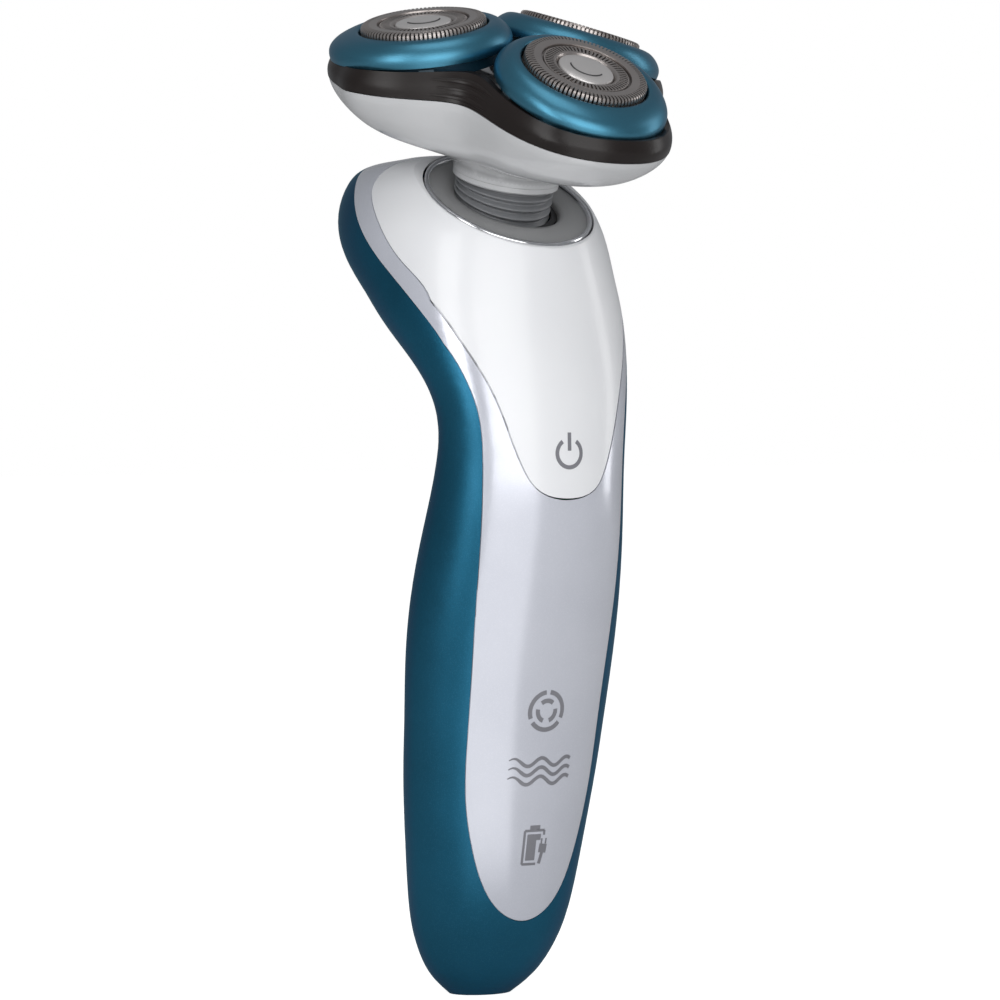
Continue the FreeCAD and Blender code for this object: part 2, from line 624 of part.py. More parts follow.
def save_board():
    front = -BOARD_OFFSET - BOARD_THICK
    board = board_outline(front, -BOARD_OFFSET)
    save("circuit_board", in_battery(board))
    chip = box((-3, -BOARD_OFFSET, 52), (3, -BOARD_OFFSET + 1.0, 58))
    coil = rod(3.0, V(4.6, -BOARD_OFFSET, 68), V(4.6, -BOARD_OFFSET + 3.2, 68))
    caps = [box((x, -BOARD_OFFSET, 61), (x + 1.6, -BOARD_OFFSET + 0.9, 64)) for x in (-6.5, -3.5, -0.5)]
    save("board_parts", in_battery(Part.makeCompound([chip, coil] + caps)))
    leds = [box((-1, front - 0.7, z - 0.8), (1, front, z + 0.8)) for z in (14, 22, 32)]
    save("status_leds", in_battery(Part.makeCompound(leds)))
    middle = 66.0
    switch = box((-3, front - 1.5, middle - 3), (3, front, middle + 3))
    switch = switch.cut(rod(1.8 + CLEARANCE, V(0, front - 3, middle), V(0, front - 0.4, middle)))
    save("tact_switch", in_battery(switch))
    plunger = rod(1.8, V(0, front - 1.85, middle), V(0, front - 0.8, middle))
    save("switch_plunger", in_battery(plunger))


def save_inlet():
    tube = inlet_outline(3.95, 2.55, 0, 9.0).cut(inlet_outline(3.2, 1.8, -1, 7.8))
    pins = [cylinder(0.5, 2.6, 10.4, x) for x in (-1.6, 1.6)]
    for pin in pins:
        tube = tube.cut(pin)
    save("charge_socket", tube)
    save("socket_pins", Part.makeCompound(pins))


os.makedirs("parts", exist_ok=True)
save_shells()
save_deck()
save_bellows()
save_neck()
save_motor()
save_gears()
save_head_base()
save_gear_cover()
save_holder()
save_trunnions()
for pod_number, pod_angle in enumerate(POD_ANGLES, 1):
    save_pod(pod_number, pod_angle)
    save_cutter(pod_number, pod_angle)
save_battery()
save_board()
save_inlet()
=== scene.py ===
import bpy
import bmesh
import json
import math
from mathutils import Matrix, Vector
from mathutils.bvhtree import BVHTree

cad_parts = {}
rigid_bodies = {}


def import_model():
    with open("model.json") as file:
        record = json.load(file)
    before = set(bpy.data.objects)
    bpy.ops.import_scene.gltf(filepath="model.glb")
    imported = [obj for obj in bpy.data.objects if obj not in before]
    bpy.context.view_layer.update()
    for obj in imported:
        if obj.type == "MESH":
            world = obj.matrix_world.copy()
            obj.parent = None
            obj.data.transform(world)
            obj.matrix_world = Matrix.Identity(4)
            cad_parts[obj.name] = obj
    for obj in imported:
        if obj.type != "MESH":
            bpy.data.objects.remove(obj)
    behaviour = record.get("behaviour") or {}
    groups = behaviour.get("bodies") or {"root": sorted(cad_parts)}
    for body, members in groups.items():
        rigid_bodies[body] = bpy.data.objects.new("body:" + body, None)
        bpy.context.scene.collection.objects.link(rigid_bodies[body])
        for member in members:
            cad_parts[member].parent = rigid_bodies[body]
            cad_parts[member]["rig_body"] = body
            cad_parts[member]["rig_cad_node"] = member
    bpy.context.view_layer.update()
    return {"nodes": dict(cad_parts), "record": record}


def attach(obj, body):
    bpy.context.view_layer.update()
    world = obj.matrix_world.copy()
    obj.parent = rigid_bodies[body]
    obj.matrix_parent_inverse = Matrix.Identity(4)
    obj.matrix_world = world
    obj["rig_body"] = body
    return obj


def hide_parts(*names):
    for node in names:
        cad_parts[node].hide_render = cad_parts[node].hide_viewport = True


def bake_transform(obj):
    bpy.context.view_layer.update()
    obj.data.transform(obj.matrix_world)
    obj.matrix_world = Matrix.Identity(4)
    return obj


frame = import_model()
nodes = frame["nodes"]
mm = 0.001
print("frame loaded:", len(nodes), "nodes")

head = {
    "point": Vector((0, -15.6, 155.6)) * mm,
    "tilt": math.radians(18.5),
    "podAngles": [-90, 30, 150],
    "podRadius": 17.5 * mm,
    "podTilt": math.radians(14.7),
    "pivot": -26.1,
    "collarFoot": -23.9,
}
headMatrix = Matrix.Translation(head["point"]) @ Matrix.Rotation(head["tilt"], 4, "X")


def podMatrix(angle):
    turned = Matrix.Rotation(math.radians(angle), 4, "Z") @ Matrix.Translation((head["podRadius"], 0, 0))
    return headMatrix @ turned @ Matrix.Rotation(head["podTilt"], 4, "Y")


# materials

def newGroup(name, inputs, outputs):
    group = bpy.data.node_groups.new(name, "ShaderNodeTree")
    for label, value in inputs.items():
        socket = group.interface.new_socket(label, in_out="INPUT", socket_type="NodeSocketFloat")
        socket.default_value = value
    for label, kind in outputs.items():
        group.interface.new_socket(label, in_out="OUTPUT", socket_type=kind)
    return group, group.nodes.new("NodeGroupInput"), group.nodes.new("NodeGroupOutput")


def makeSurfaceGrain():
    # fine speck and slow cloudiness, both about zero to one
    group, given, result = newGroup(
        "surfaceGrain", {"Fine Scale": 2500.0, "Slow Scale": 60.0},
        {"Fine": "NodeSocketFloat", "Slow": "NodeSocketFloat"})
    links = group.links
    coords = group.nodes.new("ShaderNodeTexCoord")
    for label in ("Fine", "Slow"):
        noise = group.nodes.new("ShaderNodeTexNoise")
        noise.inputs["Detail"].default_value = 3.0
        links.new(coords.outputs["Object"], noise.inputs["Vector"])
        links.new(given.outputs[label + " Scale"], noise.inputs["Scale"])
        spread = group.nodes.new("ShaderNodeMapRange")
        spread.inputs["From Min"].default_value = 0.3
        spread.inputs["From Max"].default_value = 0.7
        links.new(noise.outputs["Fac"], spread.inputs["Value"])
        links.new(spread.outputs["Result"], result.inputs[label])
    return group


def makeFlake():
    # metal flakes in lacquer: a few cells in each patch catch the light
    group, given, result = newGroup(
        "flake", {"Scale": 9000.0, "Share": 0.15}, {"Mask": "NodeSocketFloat"})
    links = group.links
    coords = group.nodes.new("ShaderNodeTexCoord")
    cells = group.nodes.new("ShaderNodeTexVoronoi")
    links.new(coords.outputs["Object"], cells.inputs["Vector"])
    links.new(given.outputs["Scale"], cells.inputs["Scale"])
    split = group.nodes.new("ShaderNodeSeparateColor")
    links.new(cells.outputs["Color"], split.inputs["Color"])
    below = group.nodes.new("ShaderNodeMath")
    below.operation = "LESS_THAN"
    links.new(split.outputs["Red"], below.inputs[0])
    links.new(given.outputs["Share"], below.inputs[1])
    links.new(below.outputs["Value"], result.inputs["Mask"])
    return group


def makePaintedHollowShade():
    # one where the form is hollow, as in seams and corners; it drives the painted shade that darkens the base
    # colour there
    group, given, result = newGroup("paintedHollowShade", {"Reach": 0.08}, {"Hollow": "NodeSocketFloat"})
    links = group.links
    shape = group.nodes.new("ShaderNodeNewGeometry")
    low = group.nodes.new("ShaderNodeMath")
    low.operation = "SUBTRACT"
    low.inputs[0].default_value = 0.5
    links.new(given.outputs["Reach"], low.inputs[1])
    spread = group.nodes.new("ShaderNodeMapRange")
    spread.inputs["From Max"].default_value = 0.5
    spread.inputs["To Min"].default_value = 1.0
    spread.inputs["To Max"].default_value = 0.0
    links.new(shape.outputs["Pointiness"], spread.inputs["Value"])
    links.new(low.outputs["Value"], spread.inputs["From Min"])
    links.new(spread.outputs["Result"], result.inputs["Hollow"])
    return group


surfaceGrain = makeSurfaceGrain()
flake = makeFlake()
paintedHollowShade = makePaintedHollowShade()

# colour and colour2 are the two ends of each finish's variation
finishes = {
    "blue_shell": dict(colour=(0.008, 0.115, 0.2), colour2=(0.011, 0.135, 0.235), metallic=1.0,
                       rough=(0.34, 0.40), tint=(0.08, 0.4, 0.52), coat=0.3, coatRough=0.3, flake=0.16,
                       flakeColour=(0.05, 0.25, 0.42), bump=0.04, fine=3500),
    "blue_pod": dict(colour=(0.03, 0.19, 0.29), colour2=(0.036, 0.215, 0.325), metallic=1.0,
                     rough=(0.34, 0.4), tint=(0.2, 0.45, 0.6), coat=0.9, coatRough=0.34, flake=0.14,
                     flakeColour=(0.08, 0.32, 0.5), bump=0.03, fine=3500),
    # painted shade: a darker, duller copy of the pod blue for the cup wall, which lies in shadow under the
    # ring
    "pod_cup": dict(colour=(0.008, 0.04, 0.07), colour2=(0.012, 0.055, 0.09), metallic=0.5, rough=(0.4, 0.5),
                    bump=0.04, fine=3000),
    "silver_panel": dict(colour=(0.57, 0.585, 0.65), colour2=(0.62, 0.635, 0.70), metallic=0.3,
                         rough=(0.17, 0.22), coat=0.6, coatRough=0.06, flake=0.15,
                         flakeColour=(0.8, 0.8, 0.86), bump=0.015, fine=4000),
    "white_gloss": dict(colour=(0.76, 0.765, 0.785), colour2=(0.79, 0.795, 0.81), rough=(0.3, 0.36),
                        coat=0.35, coatRough=0.14, bump=0.01, fine=1500),
    "head_white": dict(colour=(0.50, 0.505, 0.515), colour2=(0.55, 0.555, 0.565), rough=(0.16, 0.22),
                       coat=0.5, coatRough=0.06, bump=0.01, fine=1500),
    "trim": dict(colour=(0.72, 0.73, 0.75), colour2=(0.8, 0.8, 0.82), metallic=1.0, rough=(0.06, 0.13),
                 bump=0.01, fine=1200),
    "deck": dict(colour=(0.30, 0.302, 0.305), colour2=(0.35, 0.352, 0.355), metallic=0.2,
                 rough=(0.34, 0.44), coat=0.1, coatRough=0.25, bump=0.04, fine=3000),
    "bellows_rubber": dict(colour=(0.17, 0.175, 0.185), colour2=(0.21, 0.215, 0.225), rough=(0.32, 0.42),
                           bump=0.06, fine=2500),
    "dark_plastic": dict(colour=(0.028, 0.028, 0.03), colour2=(0.04, 0.04, 0.042), rough=(0.45, 0.6),
                         bump=0.15, fine=2200),
    "steel": dict(colour=(0.5, 0.5, 0.51), colour2=(0.58, 0.58, 0.59), metallic=1.0, rough=(0.24, 0.36),
                  bump=0.05, fine=2600),
    "cell": dict(colour=(0.02, 0.12, 0.08), colour2=(0.03, 0.16, 0.11), rough=(0.3, 0.4), bump=0.04,
                 fine=1500),
    "nickel": dict(colour=(0.62, 0.58, 0.5), colour2=(0.68, 0.65, 0.57), metallic=1.0, rough=(0.22, 0.34),
                   bump=0.04, fine=2000),
    "board": dict(colour=(0.01, 0.12, 0.04), colour2=(0.015, 0.16, 0.06), rough=(0.3, 0.45), bump=0.06,
                  fine=3000),
    "board_part": dict(colour=(0.02, 0.02, 0.022), colour2=(0.04, 0.04, 0.042), rough=(0.4, 0.55), bump=0.08,
                       fine=3000),
    "led": dict(colour=(0.7, 0.75, 0.7), colour2=(0.8, 0.85, 0.8), rough=(0.12, 0.2), bump=0.01, fine=1500),
    "drive_plastic": dict(colour=(0.66, 0.66, 0.61), colour2=(0.74, 0.74, 0.7), rough=(0.32, 0.42), bump=0.06,
                          fine=2000),
    "grey_plastic": dict(colour=(0.46, 0.47, 0.49), colour2=(0.54, 0.55, 0.57), rough=(0.32, 0.42), bump=0.06,
                         fine=2400),
    "black_band": dict(colour=(0.009, 0.0065, 0.006), colour2=(0.014, 0.01, 0.009), rough=(0.26, 0.34),
                       specular=0.3, bump=0.02, fine=1800),
    "clear_plastic": dict(colour=(0.07, 0.11, 0.14), colour2=(0.1, 0.145, 0.175), rough=(0.12, 0.2), coat=0.4,
                          coatRough=0.05, bump=0.02, fine=1500),
    "foil_steel": dict(colour=(0.38, 0.345, 0.33), colour2=(0.47, 0.43, 0.41), metallic=0.95,
                       rough=(0.26, 0.38), bump=0.05, fine=2800),
    "disc_metal": dict(colour=(0.55, 0.53, 0.52), colour2=(0.64, 0.62, 0.61), metallic=0.6, rough=(0.3, 0.4),
                       bump=0.03, fine=2500),
    "blade_steel": dict(colour=(0.62, 0.60, 0.58), colour2=(0.72, 0.7, 0.68), metallic=1.0, rough=(0.18, 0.3),
                        bump=0.03, fine=2500),
    "icon_print": dict(colour=(0.17, 0.17, 0.19), colour2=(0.21, 0.21, 0.23), rough=(0.4, 0.5), bump=0.03,
                       fine=3500),
}


def makeMaterial(name, colour, colour2, rough, metallic=0.0, coat=0.0, coatRough=0.1, flake_=0.0,
                 flakeColour=(1, 1, 1), tint=(1, 1, 1), specular=0.5, bump=0.05, fine=2500, slow=60):
    material = bpy.data.materials.new(name)
    material.use_nodes = True
    tree = material.node_tree
    links = tree.links
    shader = tree.nodes["Principled BSDF"]
    shader.inputs["Metallic"].default_value = metallic
    shader.inputs["Specular IOR Level"].default_value = specular
    shader.inputs["Specular Tint"].default_value = (*tint, 1)
    shader.inputs["Coat Weight"].default_value = coat
    shader.inputs["Coat Roughness"].default_value = coatRough
    grain = tree.nodes.new("ShaderNodeGroup")
    grain.node_tree = surfaceGrain
    grain.inputs["Fine Scale"].default_value = fine
    grain.inputs["Slow Scale"].default_value = slow
    blend = tree.nodes.new("ShaderNodeMix")
    blend.data_type = "RGBA"
    blend.inputs["A"].default_value = (*colour, 1)
    blend.inputs["B"].default_value = (*colour2, 1)
    links.new(grain.outputs["Slow"], blend.inputs["Factor"])
    last = blend.outputs["Result"]
    if flake_:
        cells = tree.nodes.new("ShaderNodeGroup")
        cells.node_tree = flake
        share = tree.nodes.new("ShaderNodeMath")
        share.operation = "MULTIPLY"
        share.inputs[1].default_value = flake_
        links.new(cells.outputs["Mask"], share.inputs[0])
        spark = tree.nodes.new("ShaderNodeMix")
        spark.data_type = "RGBA"
        spark.inputs["B"].default_value = (*flakeColour, 1)
        links.new(share.outputs["Value"], spark.inputs["Factor"])
        links.new(last, spark.inputs["A"])
        last = spark.outputs["Result"]
    # painted shade: where the form is hollow the base colour darkens towards 0.45 of itself
    hollow = tree.nodes.new("ShaderNodeGroup")
    hollow.node_tree = paintedHollowShade
    dim = tree.nodes.new("ShaderNodeMix")
    dim.data_type = "RGBA"
    dim.inputs["B"].default_value = (*[c * 0.45 for c in colour], 1)
    links.new(hollow.outputs["Hollow"], dim.inputs["Factor"])
    links.new(last, dim.inputs["A"])
    links.new(dim.outputs["Result"], shader.inputs["Base Color"])
    gloss = tree.nodes.new("ShaderNodeMapRange")
    gloss.inputs["To Min"].default_value = rough[0]
    gloss.inputs["To Max"].default_value = rough[1]
    links.new(grain.outputs["Slow"], gloss.inputs["Value"])
    links.new(gloss.outputs["Result"], shader.inputs["Roughness"])
    relief = tree.nodes.new("ShaderNodeBump")
    relief.inputs["Strength"].default_value = bump
    relief.inputs["Distance"].default_value = 0.0002
    links.new(grain.outputs["Fine"], relief.inputs["Height"])
    links.new(relief.outputs["Normal"], shader.inputs["Normal"])
    return material


materials = {}
for finishName, values in finishes.items():
    given = dict(values)
    given["flake_"] = given.pop("flake", 0.0)
    materials[finishName] = makeMaterial(finishName, **given)

slotOf = {s["node"]: s["material_slot"] for s in frame["record"]["subparts"]}
for nodeName, node in nodes.items():
    node.data.materials.clear()
    node.data.materials.append(materials[slotOf[nodeName]])
print("materials:", len(materials))


# mesh helpers

def meshObject(name, points, faces, finish):
    mesh = bpy.data.meshes.new(name)
    mesh.from_pydata([tuple(p) for p in points], [], faces)
    mesh.validate()
    piece = bpy.data.objects.new(name, mesh)
    bpy.context.scene.collection.objects.link(piece)
    mesh.materials.append(materials[finish])
    return piece


def finishMesh(piece, sharpDegrees=35, merge=1e-7):
    form = bmesh.new()
    form.from_mesh(piece.data)
    bmesh.ops.remove_doubles(form, verts=form.verts, dist=merge)
    bmesh.ops.recalc_face_normals(form, faces=form.faces)
    form.to_mesh(piece.data)
    form.free()
    piece.data.shade_smooth()
    piece.data.set_sharp_from_angle(angle=math.radians(sharpDegrees))
    return piece


def lathe(name, profile, finish, steps=96, matrix=Matrix.Identity(4), sharpDegrees=35):
    # profile is a closed loop of (radius, height) in millimetres
    points = []
    for step in range(steps):
        turn = 2 * math.pi * step / steps
        for r, z in profile:
            points.append(matrix @ (Vector((r * math.cos(turn), r * math.sin(turn), z)) * mm))
    faces = []
    n = len(profile)
    for step in range(steps):
        following = (step + 1) % steps
        for k in range(n):
            nextK = (k + 1) % n
            faces.append((step * n + k, following * n + k, following * n + nextK, step * n + nextK))
    piece = meshObject(name, points, faces, finish)
    return finishMesh(piece, sharpDegrees, 1e-6)


def joined(name, pieces):
    bpy.ops.object.select_all(action="DESELECT")
    for piece in pieces:
        piece.select_set(True)
    bpy.context.view_layer.objects.active = pieces[0]
    bpy.ops.object.join()
    pieces[0].name = name
    pieces[0].data.name = name
    return pieces[0]


def curvePoints(points, perSpan=6):
    # a Catmull-Rom curve through the points
    result = []
    padded = [points[0]] + list(points) + [points[-1]]
    for a, b, c, d in zip(padded, padded[1:], padded[2:], padded[3:]):
        for step in range(perSpan):
            t = step / perSpan
            result.append(tuple(
                0.5 * (2 * b[i] + (c[i] - a[i]) * t + (2 * a[i] - 5 * b[i] + 4 * c[i] - d[i]) * t ** 2
                       + (3 * b[i] - a[i] - 3 * c[i] + d[i]) * t ** 3) for i in range(len(b))))
    result.append(tuple(points[-1]))
    return result


# smooth skins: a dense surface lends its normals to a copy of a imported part

def gridTree(rows):
    points = [p for row in rows for p in row]
    n = len(rows[0])
    faces = []
    for i in range(len(rows) - 1):
        for k in range(n):
            nextK = (k + 1) % n
            faces.append((i * n + k, i * n + nextK, (i + 1) * n + nextK, (i + 1) * n + k))
    mesh = bpy.data.meshes.new("guide")
    mesh.from_pydata(points, [], faces)
    mesh.update()
    normals = [v.normal.copy() for v in mesh.vertices]
    tree = BVHTree.FromPolygons(points, faces)
    return {"tree": tree, "points": points, "faces": faces, "normals": normals, "mesh": mesh}


def guideNormal(guide, place):
    spot, _, index, distance = guide["tree"].find_nearest(place)
    if spot is None:
        return None, 1.0
    total = Vector((0, 0, 0))
    for corner in guide["faces"][index]:
        reach = (guide["points"][corner] - spot).length + 1e-6
        total += guide["normals"][corner] / reach ** 2
    return total.normalized(), distance


def smoothCopy(nodeName, guide=None, finish=None, shape=None, within=0.4 * mm, sharpDegrees=32):
    source = nodes[nodeName]
    piece = source.copy()
    piece.data = source.data.copy()
    piece.parent = None
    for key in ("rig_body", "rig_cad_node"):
        if key in piece:
            del piece[key]
    piece.name = "skin_" + nodeName
    bpy.context.scene.collection.objects.link(piece)
    form = bmesh.new()
    form.from_mesh(piece.data)
    bmesh.ops.remove_doubles(form, verts=form.verts, dist=1e-6)
    form.to_mesh(piece.data)
    form.free()
    mesh = piece.data
    if shape:
        for vertex in mesh.vertices:
            vertex.co = shape(vertex.co)
    if finish:
        mesh.materials[0] = materials[finish]
    mesh.shade_smooth()
    mesh.set_sharp_from_angle(angle=math.radians(sharpDegrees))
    if guide:
        mesh.update()
        loopNormals = [n.vector.copy() for n in mesh.corner_normals]
        for face in mesh.polygons:
            found = [guideNormal(guide, mesh.vertices[v].co) for v in face.vertices]
            middle, gap = guideNormal(guide, face.center)
            if gap < within and all(f[1] < within for f in found) and middle.dot(face.normal) > 0.8:
                for loop, (normal, _) in zip(face.loop_indices, found):
                    loopNormals[loop] = normal
        mesh.normals_split_custom_set(loopNormals)
    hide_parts(nodeName)
    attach(piece, source["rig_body"])
    return piece


handle = {
    # height, half width, front and back of each cross-section
    "sections": [
        (0.0, 5.4, -4.4, 3.8), (1.5, 7.2, -6.4, 5.2), (4.0, 9.6, -8.8, 6.4), (8.0, 11.9, -11.3, 7.2),
        (14.0, 13.8, -13.8, 7.6), (24.0, 15.3, -16.3, 7.2), (36.0, 16.8, -18.5, 5.9),
        (50.0, 17.9, -21.0, 4.0), (64.0, 18.2, -24.1, 2.5), (78.0, 17.1, -26.7, -0.9),
        (88.0, 16.4, -27.2, -4.4), (96.0, 16.9, -26.9, -5.0), (104.0, 18.8, -25.8, 1.4),
        (112.0, 20.7, -24.1, 12.0), (120.0, 21.2, -22.3, 22.4), (126.0, 20.4, -20.6, 27.3),
        (130.8, 18.0, -18.0, 29.0), (133.8, 15.6, -15.0, 28.4), (135.7, 12.8, -11.0, 25.4),
        (136.8, 8.2, -4.0, 18.5), (137.2, 3.6, 2.0, 12.5)],
    "around": 180,
    "perSpan": 8,
}


def handleGuide():
    rows = []
    for z, width, front, back in curvePoints(handle["sections"], handle["perSpan"]):
        row = []
        for step in range(handle["around"]):
            turn = 2 * math.pi * step / handle["around"]
            y = (front + back) / 2 + (back - front) / 2 * math.sin(turn)
            row.append(Vector((width * math.cos(turn), y, z)) * mm)
        rows.append(row)
    return gridTree(rows)


headForms = {
    "base": [(-22.85, 8.75, 8.75), (-21.6, 9.2, 9.15), (-20.4, 11.0, 10.6), (-19.4, 15.6, 12.6),
             (-18.4, 21.6, 14.9), (-17.2, 25.2, 16.6), (-15.2, 28.7, 18.4), (-12.9, 31.3, 19.7),
             (-11.4, 32.2, 20.1)],
    "band": [(-11.25, 32.35, 20.2), (-9.6, 32.6, 20.5), (-7.8, 31.9, 19.9)],
    "fullness": 0.584,
    "around": 240,
}


def lobeRadius(turn, reach, dip):
    mean = (reach + dip) / 2
    shoulder = dip + headForms["fullness"] * (reach - dip)
    fromLobe = turn - math.radians(head["podAngles"][0])
    return ((shoulder + mean) / 2 + (reach - dip) / 2 * math.cos(3 * fromLobe)
            + (mean - shoulder) / 2 * math.cos(6 * fromLobe))


drape = {
    # the head's side rises and draws in between the two front pods
    "foot": -20.0, "seam": -11.3, "rim": -7.8, "lift": 2.5, "grow": 1.3, "drawIn": 2.2, "lobeIn": (-0.6, 1.2),
    "innerEdge": (12.5, 17.0), "backEdge": (2.0, 10.0),
}


def eased(value, low, high):
    share = min(1.0, max(0.0, (value - low) / (high - low)))
    return share * share * (3 - 2 * share)


def draped(place):
    local = (headMatrix.inverted() @ place) / mm
    r = math.hypot(local.x, local.y)
    turn = math.atan2(local.y, local.x)
    dipShare = ((1 - math.cos(3 * (turn - math.radians(head["podAngles"][0])))) / 2) ** 1.5
    front = 1 - eased(local.y, *drape["backEdge"])
    beyond = eased(r, *drape["innerEdge"])
    outside = beyond * front
    rise = eased(local.z, drape["foot"], drape["seam"])
    above = min(1.0, max(0.0, (local.z - drape["seam"]) / (drape["rim"] - drape["seam"])))
    local.z += outside * dipShare * (drape["lift"] * rise + drape["grow"] * above)
    lobeIn = drape["lobeIn"][0] * front + drape["lobeIn"][1] * (1 - front)
    inward = outside * dipShare * drape["drawIn"] * above + beyond * (1 - dipShare) * lobeIn * rise
    local.x -= inward * math.cos(turn)
    local.y -= inward * math.sin(turn)
    return headMatrix @ (local * mm)


def headGuide(form):
    rows = []
    for z, reach, dip in curvePoints(headForms[form], 8):
        row = []
        for step in range(headForms["around"]):
            turn = 2 * math.pi * step / headForms["around"]
            r = lobeRadius(turn, reach, dip)
            row.append(draped(headMatrix @ (Vector((r * math.cos(turn), r * math.sin(turn), z)) * mm)))
        rows.append(row)
    return gridTree(rows)


handleSkin = handleGuide()
for nodeName in ("rear_shell", "front_shell", "front_cover"):
    smoothCopy(nodeName, handleSkin)
smoothCopy("head_base", headGuide("base"), "head_white", draped)
smoothCopy("holder_frame", headGuide("band"), None, draped)
smoothCopy("neck_collar", None, "head_white")
smoothCopy("pod_plate")
smoothCopy("bellows_clamp")
print("skins made")


# deck and its rim

deck = {
    "point": Vector((0, -7.35, 130.9)), "tilt": math.radians(32.5), "centre": -2.0, "radius": 14.2,
    "plate": [(8.7, -3.0), (8.7, -1.7), (9.0, -1.35), (9.6, -1.2), (11.2, -0.8), (12.8, -0.45), (13.35, -0.4),
              (13.35, -1.6), (12.7, -3.2)],
    "rise": 1.5,
    "rim": [(13.35, -0.45), (13.4, 0.0), (13.55, 0.14), (13.85, 0.17), (14.1, 0.06), (14.2, -0.15),
            (14.2, -3.2), (12.8, -3.2), (13.35, -1.65)],
}


def raiseFront(mesh):
    # the deck climbs to the bellows at the front and stays level behind
    for vertex in mesh.vertices:
        r = vertex.co.xy.length / mm
        climb = (1 - eased(r, 8.9, 13.3)) * (1 - vertex.co.y / mm / r) / 2
        if vertex.co.z / mm > -2:
            vertex.co.z += deck["rise"] * climb * mm


def makeDeck():
    matrix = Matrix.Translation(deck["point"] * mm) @ Matrix.Rotation(deck["tilt"], 4, "X")
    matrix = matrix @ Matrix.Translation((0, deck["centre"] * mm, 0))
    for key, nodeName, finish in (("plate", "deck_plate", "deck"), ("rim", "deck_trim", "trim")):
        piece = lathe("deck" + key.capitalize(), deck[key], finish, 128, Matrix.Identity(4), 50)
        if key == "plate":
            raiseFront(piece.data)
        piece.data.transform(matrix)
        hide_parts(nodeName)
        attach(piece, "handle")


makeDeck()


# bellows

bellows = {"folds": 4, "radius": 7.75, "swing": 0.38, "wall": 0.45, "rows": 64, "around": 96,
           "footDrop": 1.86, "topRise": 0.25, "firstShare": 0.03, "deckTilt": math.radians(32.5),
           "seamRow": 40, "bendBelow": 2.3, "bendAbove": 1.3}


def makeBellows(name, firstRow, lastRow):
    foot = headMatrix @ (Vector((0, 0, head["pivot"] - bellows["footDrop"])) * mm)
    top = headMatrix @ (Vector((0, 0, head["collarFoot"] + bellows["topRise"])) * mm)
    points = []
    rows = bellows["rows"]
    around = bellows["around"]
    firstShare = bellows["firstShare"]
    for row in range(firstRow, lastRow + 1):
        share = row / rows
        lean = bellows["deckTilt"] + (head["tilt"] - bellows["deckTilt"]) * share
        wave = math.cos(2 * math.pi * bellows["folds"] * share)
        radius = bellows["radius"] + bellows["swing"] * wave
        middle = foot.lerp(top, firstShare + (1 - firstShare) * share)
        turnMatrix = Matrix.Translation(middle) @ Matrix.Rotation(lean, 4, "X")
        for step in range(around):
            turn = 2 * math.pi * step / around
            points.append(turnMatrix @ (Vector((radius * math.cos(turn), radius * math.sin(turn), 0)) * mm))
    faces = []
    for row in range(lastRow - firstRow):
        for step in range(around):
            following = (step + 1) % around
            faces.append((row * around + step, row * around + following, (row + 1) * around + following,
                          (row + 1) * around + step))
    piece = meshObject(name, points, faces, "bellows_rubber")
    wall = piece.modifiers.new("wall", "SOLIDIFY")
    wall.thickness = bellows["wall"] * mm
    wall.offset = -1
    settle(piece)
    finishMesh(piece, 60)
    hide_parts("bellows")
    if firstRow == 0:
        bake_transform(piece)
    else:
        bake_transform(piece)
    return piece


def settle(piece):
    # every modifier's result becomes the piece's own mesh
    bpy.context.view_layer.update()
    evaluated = piece.evaluated_get(bpy.context.evaluated_depsgraph_get())
    mesh = bpy.data.meshes.new_from_object(evaluated)
    piece.modifiers.clear()
    piece.data = mesh
    return piece


# the bellows are built as a lower and an upper part, split at the seam row
makeBellows("bellowsLower", 0, bellows["seamRow"])
makeBellows("bellowsUpper", bellows["seamRow"], bellows["rows"])
print("bellows made")


# pods

pod = {
    "outer": [(10.5, -1.3), (10.62, -1.02), (11.1, -0.86), (12.2, -1.15), (13.2, -1.95), (13.9, -3.0),
              (14.1, -3.9), (14.0, -4.8)],
    "inner": [(13.75, -4.92), (13.2, -4.9), (13.0, -3.9), (12.7, -3.3), (12.2, -3.0), (12.2, -7.0),
              (11.1, -7.0), (11.1, -2.5), (10.5, -2.2)],
    "reach": 1.45,
    "reachBetween": (11.6, 14.0),
    "cupEdge": (-3, 12.9),
    "cupTop": -4.95,
}


def makePods():
    rim = curvePoints(pod["outer"], 5)
    for number, angle in enumerate(head["podAngles"], 1):
        piece = lathe("podRing%d" % number, rim + pod["inner"], "blue_pod", 144, Matrix.Identity(4), 40)
        piece.data.materials.append(materials["pod_cup"])
        for vertex in piece.data.vertices:
            r = math.hypot(vertex.co.x, vertex.co.y) / mm
            outward = max(0.0, vertex.co.x / mm / r)
            reach = pod["reach"] * outward ** 2 * eased(r, *pod["reachBetween"])
            vertex.co.x *= 1 + reach / r
            vertex.co.y *= 1 + reach / r
        # painted shade: faces low on the cup wall and inside the ring take the second, darker finish,
        # standing in for the shadow under the ring
        for face in piece.data.polygons:
            height = face.center.z / mm
            across = face.center.xy.length / mm
            if height < pod["cupTop"] or (height < pod["cupEdge"][0] and across < pod["cupEdge"][1]):
                face.material_index = 1
        piece.data.transform(podMatrix(angle))
        piece.data.update()
        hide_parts("pod_%d" % number)
        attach(piece, "pod_body_%d" % number)


makePods()
print("pods made")


# foils: bars between slots, repeated round two tracks

